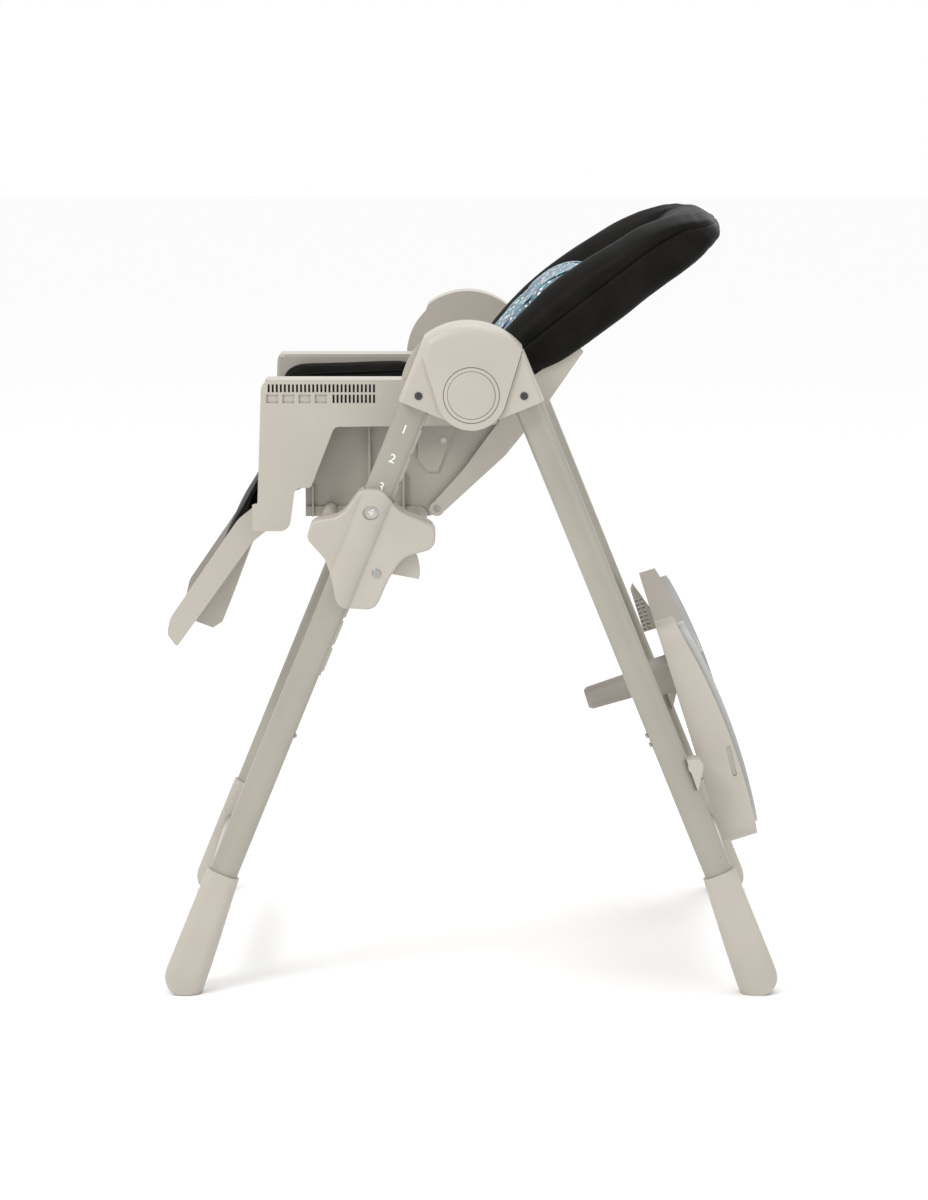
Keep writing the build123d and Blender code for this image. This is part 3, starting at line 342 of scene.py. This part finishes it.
def paint(name, colour):
    """Satin powder coat on tube: orange-peel bump and small roughness changes."""
    mat, tree, shader = material(name)
    drift = ramp(tree, noise_out(tree, 7, 3), scaled(colour, 0.96), scaled(colour, 1.04))
    tree.links.new(drift, shader.inputs["Base Color"])
    tree.links.new(remap(tree, noise_out(tree, 90, 4), 0.24, 0.36), shader.inputs["Roughness"])
    bump(tree, shader, noise_out(tree, 420, 2), 0.00008, 0.30)
    shader.inputs["Metallic"].default_value = 0.12
    shader.inputs["Coat Weight"].default_value = 0.35
    shader.inputs["Coat Roughness"].default_value = 0.22
    return mat


def metal(name, colour, rough):
    mat, tree, shader = material(name)
    shader.inputs["Base Color"].default_value = (*colour, 1)
    shader.inputs["Metallic"].default_value = 1
    brushed = remap(tree, noise_out(tree, 300, 4), rough - 0.05, rough + 0.10)
    tree.links.new(brushed, shader.inputs["Roughness"])
    bump(tree, shader, noise_out(tree, 900, 2), 0.00003, 0.4)
    return mat


def rubber(name, colour):
    mat, tree, shader = material(name)
    tree.links.new(ramp(tree, noise_out(tree, 40, 4), scaled(colour, 0.7), scaled(colour, 1.4)),
                   shader.inputs["Base Color"])
    tree.links.new(remap(tree, noise_out(tree, 120, 3), 0.62, 0.82), shader.inputs["Roughness"])
    bump(tree, shader, noise_out(tree, 1500, 2), 0.0001, 0.5)
    return mat


def leatherette(name, colour):
    """Wipe-clean cover: pebbled grain with creases, low gloss, and painted shade in the fold hollows
    with painted highlight on the fold ridges.
    """
    mat, tree, shader = material(name)
    pebble = node(tree, "ShaderNodeTexVoronoi", Scale=520.0, feature="SMOOTH_F1", Smoothness=0.6)
    tree.links.new(position(tree), pebble.inputs["Vector"])
    fold = noise_out(tree, 26, 5, 0.6)
    # painted shade and highlight: the colour follows the fold bump, darker in its hollows and lighter
    # on its ridges
    fold_shade_and_highlight = ramp(tree, fold, scaled(colour, 0.75), scaled(colour, 1.35))
    tree.links.new(fold_shade_and_highlight, shader.inputs["Base Color"])
    tree.links.new(remap(tree, noise_out(tree, 55, 4), 0.42, 0.58), shader.inputs["Roughness"])
    fine = bump(tree, shader, pebble.outputs["Distance"], 0.00022, 0.45)
    bump(tree, shader, fold, 0.0022, 0.35, fine)
    shader.inputs["Specular IOR Level"].default_value = 0.07
    return mat


def weave_height(tree, scale):
    """Crossed waves that read as a plain weave."""
    bands = []
    for direction in ("X", "DIAGONAL"):
        wave = node(tree, "ShaderNodeTexWave", Scale=scale, Distortion=0.6, bands_direction=direction)
        tree.links.new(position(tree), wave.inputs["Vector"])
        bands.append(wave.outputs["Fac"])
    mix = node(tree, "ShaderNodeMath", operation="MAXIMUM")
    tree.links.new(bands[0], mix.inputs[0])
    tree.links.new(bands[1], mix.inputs[1])
    return mix.outputs[0]


def webbing_cloth(name, colour):
    mat, tree, shader = material(name)
    height = weave_height(tree, 260.0)
    tree.links.new(ramp(tree, height, scaled(colour, 0.5), scaled(colour, 1.5), 0.2, 0.8),
                   shader.inputs["Base Color"])
    shader.inputs["Roughness"].default_value = 0.78
    shader.inputs["Sheen Weight"].default_value = 0.25
    bump(tree, shader, height, 0.0003, 0.6)
    return mat


def speckled_cloth(name, colour):
    """Printed cotton: mottled blue ground with scattered light, teal and pink flecks."""
    mat, tree, shader = material(name)
    current = ramp(tree, noise_out(tree, 34, 4, 0.6), scaled(colour, 0.78), scaled(colour, 1.30))
    flecks = (
        (105.0, 0.0, (0.86, 0.92, 0.93), 0.20),
        (80.0, 3.1, (0.10, 0.42, 0.42), 0.24),
        (92.0, 7.7, (0.72, 0.42, 0.48), 0.17),
        (150.0, 5.2, (0.90, 0.93, 0.95), 0.16),
    )
    for scale, shift, tint, size in flecks:
        move = node(tree, "ShaderNodeMapping")
        move.inputs["Location"].default_value = (shift, shift * 0.7, -shift)
        move.inputs["Rotation"].default_value = (0.4 * shift, 0.9, 0.3 * shift)
        move.inputs["Scale"].default_value = (1.0, 1.0, 0.55)
        tree.links.new(position(tree), move.inputs["Vector"])
        cell = node(tree, "ShaderNodeTexVoronoi", Scale=scale)
        tree.links.new(move.outputs["Vector"], cell.inputs["Vector"])
        mask = ramp(tree, cell.outputs["Distance"], (1, 1, 1), (0, 0, 0), size, size + 0.06)
        mix = node(tree, "ShaderNodeMix", data_type="RGBA")
        tree.links.new(mask, mix.inputs["Factor"])
        tree.links.new(current, mix.inputs["A"])
        mix.inputs["B"].default_value = (*tint, 1)
        current = mix.outputs["Result"]
    tree.links.new(current, shader.inputs["Base Color"])
    shader.inputs["Roughness"].default_value = 0.82
    shader.inputs["Sheen Weight"].default_value = 0.3
    bump(tree, shader, weave_height(tree, 420.0), 0.0003, 0.5)
    return mat


def clear_window(name):
    mat, tree, shader = material(name)
    shader.inputs["Base Color"].default_value = (0.72, 0.70, 0.64, 1)
    shader.inputs["Transmission Weight"].default_value = 0.25
    shader.inputs["IOR"].default_value = 1.49
    tree.links.new(remap(tree, noise_out(tree, 80, 3), 0.05, 0.12), shader.inputs["Roughness"])
    return mat


GREIGE = (0.420, 0.388, 0.338)
MATERIALS = {
    "plastic": plastic("moulded_greige", GREIGE),
    # painted shade: darker copies of the greige plastic, 84 % and 72 %, stand in for the shade on the
    # seat bucket and crotch post; the real plastic is most likely one colour
    "bucket_plastic_painted_shade": plastic("bucket_greige_painted_shade", scaled(GREIGE, 0.84)),
    "post_plastic_painted_shade": plastic("post_greige_painted_shade", scaled(GREIGE, 0.72)),
    "tube_paint": paint("tube_coat", (0.318, 0.301, 0.252)),
    "insert_plastic": plastic("insert_grey", (0.42, 0.42, 0.415), rough=0.33, coat=0.2),
    "dark_plastic": plastic("dark_plastic", (0.035, 0.034, 0.036), rough=0.38),
    "black_cover": leatherette("black_cover", (0.0060, 0.0056, 0.0050)),
    "printed_cloth": speckled_cloth("printed_cloth", (0.085, 0.155, 0.210)),
    "black_webbing": webbing_cloth("black_webbing", (0.012, 0.012, 0.014)),
    "steel": metal("bright_steel", (0.38, 0.38, 0.37), 0.22),
    "rubber": rubber("black_rubber", (0.028, 0.028, 0.029)),
    "clear": clear_window("clear_window"),
    "print": plastic("white_print", (0.82, 0.82, 0.80), rough=0.5),
}


def finish_with(obj, name):
    obj.data.materials.clear()
    obj.data.materials.append(MATERIALS[name])


# painted shade: the seat bucket and crotch post take the darker copies of the plastic
PAINTED_SHADE_LOOK = {"seat_bucket": "bucket_plastic_painted_shade", "crotch_post": "post_plastic_painted_shade"}

for sub in frame["record"]["subparts"]:
    cad = bpy.data.objects[sub["node"]]
    chosen = MATERIALS[PAINTED_SHADE_LOOK.get(sub["node"], sub["material_slot"])]
    if not cad.material_slots:
        cad.data.materials.append(chosen)
    for slot in cad.material_slots:
        slot.material = chosen


def dress(obj, body, slot, look=None):
    """Finish and body of a new piece; the look names the finish, and the slot names it when no look is
    given.
    """
    finish_with(obj, look or slot)
    if body:
        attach(obj, body)
    return obj


# ---- back cushion ----
# place up the back, half width, rear, seam, crest, crest's half width, valley
BACK_STATIONS = [
    (186, 165, 60, 90, 116, 143, 84),
    (206, 168, 54, 92.5, 121, 142, 86),
    (245, 170, 49, 93.5, 128, 141, 88),
    (285, 170, 47.5, 94, 131, 140, 89),
    (330, 170, 47.5, 94, 129, 139, 90),
    (370, 169, 48.5, 94, 124.5, 137, 92),
    (400, 167, 47.5, 93, 119.5, 134, 95),
    (426, 161, 47, 89, 111, 127, 98),
    (446, 150, 48, 82.5, 101, 114, 97),
    (461, 133, 50, 74, 90, 96, 89),
    (470, 109, 54, 69, 81, 72, 80),
    (475, 72, 60, 66, 72, 40, 72),
]
LEAN = 0.24  # the lower end slopes back by this much
LEAN_END = 330  # the sections are square to the back from here up
HELD_REAR = 62  # the cover is held to the shell behind this
HELD_SHELL = 0.158
HELD_VALLEY = (0.095, 425, 100)  # half width, upper end and height of the held middle
SEAM_HOLD = 1.6 * MM
RIPPLES = ((24, 1.1), (58, 0.5))  # scale and height of the cover's waves
PUCKER_SCALE, PUCKER_HEIGHT, PUCKER_REACH = 120, 1.5, 11
SEAM_SINK = 2.6  # the seam lies this far inside the cover's widest line
CREASES = (446, 458)  # soft folds round the head end


def back_keys(width, rear, seam, crest, crest_x, valley):
    """Right half of a cross-section of the back cushion, from its rear to its valley."""
    rise = crest - seam
    inner = crest_x * 0.74
    return [
        (0, rear),
        (width * 0.8, rear),
        (width - 5, rear + 5),
        (width + 0.4, (rear + seam) / 2),
        (width, seam - 4),
        (width - SEAM_SINK, seam),
        (width + 0.3, seam + 4),
        (width - 5, seam + rise * 0.6),
        (crest_x, crest),
        (crest_x * 0.86, crest - 0.22 * (crest - valley)),
        (inner, valley + 0.30 * (crest - valley)),
        (inner * 0.86, valley),
        (0, valley),
    ]


def full_ring(half, place):
    """Both halves of a section as one closed ring of points."""
    other = [(-x, b) for x, b in reversed(half[1:-1])]
    return [place(x, b) for x, b in half + other]


def build_back():
    stations = spline(BACK_STATIONS, 4)
    rings, seams = [], []
    low = stations[0][0]
    for a, width, rear, seam, crest, crest_x, valley in stations:
        lean = LEAN * max(0.0, 1 - (a - low) / (LEAN_END - low))
        half = spline(back_keys(width, rear, seam, crest, crest_x, valley), 4)

        def place(x, b):
            return back(x, a - lean * (b - 56), b)

        rings.append(full_ring(half, place))
        sunk = width - SEAM_SINK
        seams.append((place(sunk, seam), place(-sunk, seam)))
    obj = loft("back_cover", rings)
    seam_points = [p for pair in seams for p in pair]

    def pinned(co):
        a, b = back_place(co)
        if b < HELD_REAR and abs(co.x) < HELD_SHELL:
            return True
        half, end, height = HELD_VALLEY
        if abs(co.x) < half and a < end:
            return b < height
        return min((co - p).length for p in seam_points) < SEAM_HOLD

    inflate(obj, pinned, 6 * MM, 3.0)
    for vertex in obj.data.vertices:
        off_seam = min((vertex.co - p).length for p in seam_points) / MM
        lengthwise = Vector((
            vertex.co.z * PUCKER_SCALE, vertex.co.y * PUCKER_SCALE, 3.1 if vertex.co.x > 0 else 9.4
        ))
        ripple = sum(noise(vertex.co * scale) * height for scale, height in RIPPLES)
        pucker = noise(lengthwise) * PUCKER_HEIGHT * math.exp(-off_seam / PUCKER_REACH)
        keep = min(1.0, off_seam / 3)
        up = back_place(vertex.co)[0]
        crease = sum(math.exp(-(((up - at) / 3.5) ** 2)) for at in CREASES) * 0.9
        vertex.co += vertex.normal * (((ripple + pucker) * 1.1 - crease) * keep * MM)
    smooth(obj)
    dress(obj, "backrest", "black_cover")
    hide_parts("back_cushion")
    right = [p for p, _ in seams]
    left = [p for _, p in seams]
    piping = tube("back_piping", right + left[::-1], 0.9 * MM)
    dress(piping, "backrest", "black_cover")
    return obj


TONGUE_STATIONS = [
    (46, 13, 27), (75, 16, 42), (105, 19, 55), (140, 28, 68), (172, 37, 80), (192, 60, 84),
]


def build_back_tongue():
    """Lower panel of the back cover, down the shell to the seat."""
    stations = spline(TONGUE_STATIONS, 4)
    rings = []
    for a, under, top in stations:
        edge = 130
        half = spline([(0, under), (edge - 12, under), (edge, (under + top) / 2), (edge - 9, top - 1),
                       (edge * 0.55, top - 0.5), (0, top - 2)], 4)
        rings.append(full_ring(half, lambda x, b, at=a: back(x, at, b)))
    obj = loft("back_cover_lower", rings)
    inflate(obj, lambda co: abs(co.x) < 0.004, 4 * MM, 2.0)
    smooth(obj)
    dress(obj, "backrest", "black_cover")
    return obj


# ---- printed insert ----
PAD_STATIONS = [
    (146, 62, 92, 103), (158, 82, 90, 110), (180, 94, 90, 116), (205, 97, 90, 122), (226, 93, 90, 125),
    (236, 88, 90, 125), (246, 93, 90, 128), (270, 98, 91, 131), (295, 92, 91, 127), (310, 76, 92, 119),
    (319, 50, 93, 108),
]


def build_pad():
    rings, outline = [], []
    for a, width, under, top in spline(PAD_STATIONS, 4):
        middle = (under + top) / 2
        half = spline([(0, under), (width - 14, under), (width, middle), (width - 12, top - 4),
                       (width * 0.5, top), (width * 0.12, top - 1), (0, top - 2.4)], 4)
        rings.append(full_ring(half, lambda x, b, at=a: back(x, at, b)))
        outline.append((back(width + 0.3, a, middle), back(-width - 0.3, a, middle)))
    obj = loft("printed_insert", rings)
    inflate(obj, lambda co: abs(co.x) < 0.003, 4 * MM, 2.5)
    smooth(obj)
    dress(obj, "backrest", "printed_cloth")
    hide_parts("back_pad")
    edge = [p for p, _ in outline] + [p for _, p in outline[::-1]]
    binding = tube("insert_binding", edge, 1.1 * MM, cyclic=True)
    dress(binding, "backrest", "printed_cloth")
    return obj


# ---- seat liner ----
# place from front to back, pan's underside and top, side pad's top
SEAT_STATIONS = [
    (-254, 616, 626, 634),
    (-250, 610, 631, 652),
    (-244, 609.6, 634, 686),
    (-236, 609.6, 634, 707),
    (-222, 609.6, 633, 716),
    (-200, 609.6, 631, 718.5),
    (-150, 609.6, 629, 720.5),
    (-110, 609.6, 629, 722),
    (-85, 609.6, 630, 722),
    (-66, 611, 630, 716),
]
SEAT_EDGE = 143.2
SEAT_INNER = 125


def seat_half(under, pan, top):
    return [
        (0, under),
        (SEAT_EDGE - 14, under),
        (SEAT_EDGE, under + 5),
        (SEAT_EDGE, (under + top) / 2),
        (SEAT_EDGE - 1.5, top - 5),
        (SEAT_EDGE - 8, top),
        (SEAT_INNER + 1, top - 6),
        (SEAT_INNER, max((pan + top) / 2, pan + 3)),
        (SEAT_INNER - 7, pan + 2),
        (SEAT_INNER * 0.6, pan),
        (0, pan - 2),
    ]


def build_seat():
    rings, edge_lines = [], {1: [], -1: []}
    for y, under, pan, top in spline(SEAT_STATIONS, 4):
        half = spline(seat_half(under, pan, top), 4)
        rings.append(full_ring(half, lambda x, z, at=y: world(x, at, z)))
        for side in SIDES:
            edge_lines[side].append(world(side * (SEAT_INNER - 0.4), y, top - 11))
    obj = loft("seat_liner", rings)
    inflate(obj, lambda co: co.z < 0.6135 or abs(co.x) > 0.1425, 4 * MM, 2.0)
    for vertex in obj.data.vertices:
        if vertex.co.z > 0.62 and abs(vertex.co.x) < 0.142:
            vertex.co += vertex.normal * (noise(vertex.co * 30) * 1.3 * MM)
    smooth(obj)
    dress(obj, "seat", "black_cover")
    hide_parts("seat_cushion")
    for side in SIDES:
        name = "seat_piping_left" if side > 0 else "seat_piping_right"
        line = tube(name, edge_lines[side][10:], 1.0 * MM)
        dress(line, "seat", "black_cover")
    return obj


# ---- leg rest liner, one cloth with the seat's front edge ----
def build_leg_liner():
    # front line down the liner, then the thickness behind it
    line = [
        (-38, 30), (-27, 39.5), (-10, 38.8), (7, 37.3), (36, 35.6), (60, 31.5),
        (78, 26.5), (100, 21.5), (130, 18.5), (165, 17.5), (184, 16.5), (190, 13.5),
    ]
    rings = []
    for d, n in spline(line, 4):
        thick = 6.5 if d < 0 else min(6.5 + d * 0.35, n - 10)
        edge = 143.0
        under = n - max(thick, 2.5)
        half = spline([(0, under), (edge - 8, under), (edge, (n + under) / 2), (edge - 7, n - 1),
                       (edge * 0.5, n + 0.6), (0, n)], 4)
        rings.append(full_ring(half, lambda x, b, at=d: rest(x, at, b)))
    obj = loft("legrest_liner", rings)
    smooth(obj)
    dress(obj, None, "black_cover")
    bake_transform(obj)
    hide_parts("legrest_cushion")
    return obj


# ---- harness ----
STRAP_W = 24 * MM
STRAP_T = 1.4 * MM


LOWER_STRAP = (
    (56, 155, 110.5), (54, 144, 103), (50, 138, 88), (46, 120, 70), (38, 90, 56), (30, 62, 43),
)


def build_harness():
    across = Vector((1, 0, 0))
    for side, label in ((1, "left"), (-1, "right")):
        top = spline([(58, 336, 94.5), (58, 322, 105.5), (60, 302, 123.2), (62, 272, 131.4),
                      (62, 240, 128), (62, 205, 122.6), (60, 175, 116.3), (56, 153, 109.5)], 4)
        points = [back(side * x, a, b) for x, a, b in top]
        strap = webbing("shoulder_strap_" + label, points, STRAP_W, STRAP_T, across)
        dress(strap, "backrest", "black_webbing", "printed_cloth")
        if side > 0:
            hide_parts("shoulder_straps")
        low = [back(side * x, a, b) for x, a, b in LOWER_STRAP]
        low += [world(side * 24, -52, 636.5), world(side * 19, -72, 634), world(side * 13, -90, 638)]
        route = [Vector(p) for p in spline(low, 4)]
        link = webbing("lower_strap_" + label, route, STRAP_W, STRAP_T, across)
        dress(link, None, "black_webbing")
        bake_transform(link)
        waist = [world(side * 118, -76, 638), world(side * 100, -80, 635), world(side * 70, -88, 633.5),
                 world(side * 40, -98, 634.5), world(side * 17, -106, 639)]
        belt = webbing("waist_strap_" + label, [Vector(p) for p in spline(waist, 5)], STRAP_W, STRAP_T,
                       Vector((0, 1, 0)))
        dress(belt, "seat", "black_webbing")
    crotch = [world(0, -128, 640), world(0, -140, 635.5), world(0, -158, 633.8), world(0, -176, 632)]
    strap = webbing("crotch_webbing", [Vector(p) for p in spline(crotch, 4)], STRAP_W, STRAP_T, across)
    dress(strap, "seat", "black_webbing")
    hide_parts("crotch_strap")


# ---- printed numbers ----
def tube_face(across):
    """Outer face of an oval tube at this distance from its middle line."""
    return LEG_X + TUBE_HALF_WIDE * math.sqrt(1 - (across / TUBE_HALF_DEEP) ** 2) + PRINT_PROUD


def window_face(_):
    """The carrier's window is flat, so its outer face is the same everywhere."""
    return WINDOW_FACE


def number(text, place, face, side, name, body, size):
    """A printed numeral on an outer face, turned with the leg."""
    curve = bpy.data.curves.new(name, "FONT")
    curve.body = text
    curve.size = size
    curve.extrude = 0.12 * MM
    curve.offset = 0.12 * MM
    curve.align_x = "CENTER"
    curve.align_y = "CENTER"
    obj = new_object(name, curve)
    graph = bpy.context.evaluated_depsgraph_get()
    mesh = bpy.data.meshes.new_from_object(obj.evaluated_get(graph))
    bpy.data.objects.remove(obj)
    c, s = math.cos(LEG_ANGLE), math.sin(LEG_ANGLE)
    for vertex in mesh.vertices:
        u, w, depth = vertex.co
        x = side * (face(u / MM) * MM + depth)
        u *= side
        vertex.co = (x, place.y + u * c + w * s, place.z - u * s + w * c)
    made = new_object(name, mesh)
    dress(made, body, "plastic", "print")
    return made


NUMBERS = (("1", 69), ("2", 106), ("3", 142))


def build_numbers():
    for side, label in ((1, "left"), (-1, "right")):
        for text, along in NUMBERS:
            name = f"number_{text}_{label}"
            number(text, leg(0, along), tube_face, side, name, "front_frame", 15 * MM)
        low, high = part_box("window_lenses")
        place = Vector((0, (low[1] + high[1]) / 2, (low[2] + high[2]) / 2))
        number("4", place, window_face, side, "number_4_" + label, "seat", 12 * MM)


build_back()
build_back_tongue()
build_pad()
build_seat()
build_leg_liner()
build_harness()
build_numbers()

# ---- camera, light and floor ----
CAMERA_AT = (4.24, -0.0085, 1.1365)
CAMERA_DOWN = 9.384
LENS = 102.93

camera = new_object("camera", bpy.data.cameras.new("camera"))
camera.data.sensor_width = 36
camera.data.lens = LENS
camera.location = CAMERA_AT
camera.rotation_euler = (math.radians(90 - CAMERA_DOWN), 0, math.radians(90))
bpy.context.scene.camera = camera


def area_light(name, at, aim, size, power):
    lamp = bpy.data.lights.new(name, "AREA")
    lamp.shape = "DISK"
    lamp.size = size
    lamp.energy = power
    obj = new_object(name, lamp)
    obj.location = at
    obj.rotation_euler = (Vector(aim) - Vector(at)).to_track_quat("-Z", "Y").to_euler()
    return obj


TARGET = (0, 0, 0.5)
LIGHTS = (
    # name, place, size, power
    ("key_light", (2.4, -2.0, 3.0), 1.4, 52),
    ("fill_light", (2.6, 2.6, 1.6), 2.4, 8),
    ("top_light", (-0.4, 0.3, 3.2), 2.0, 24),
    ("rim_light", (-2.6, 1.6, 2.0), 1.6, 14),
)
for name, at, size, power in LIGHTS:
    area_light(name, at, TARGET, size, power)

world_data = bpy.data.worlds.new("studio")
world_data.use_nodes = True
bpy.context.scene.world = world_data
background = world_data.node_tree.nodes["Background"]
background.inputs["Color"].default_value = (1, 1, 1, 1)
background.inputs["Strength"].default_value = 1.0
bpy.context.scene.view_settings.view_transform = "Standard"

FLOOR_SIZE = 40
bpy.ops.mesh.primitive_plane_add(size=FLOOR_SIZE)
floor = bpy.context.active_object
floor.name = "floor"
floor_mat, _, floor_shader = material("pale_floor")
floor_shader.inputs["Base Color"].default_value = (0.97, 0.97, 0.97, 1)
floor_shader.inputs["Specular IOR Level"].default_value = 0.1
floor_shader.inputs["Roughness"].default_value = 0.75
floor.data.materials.append(floor_mat)
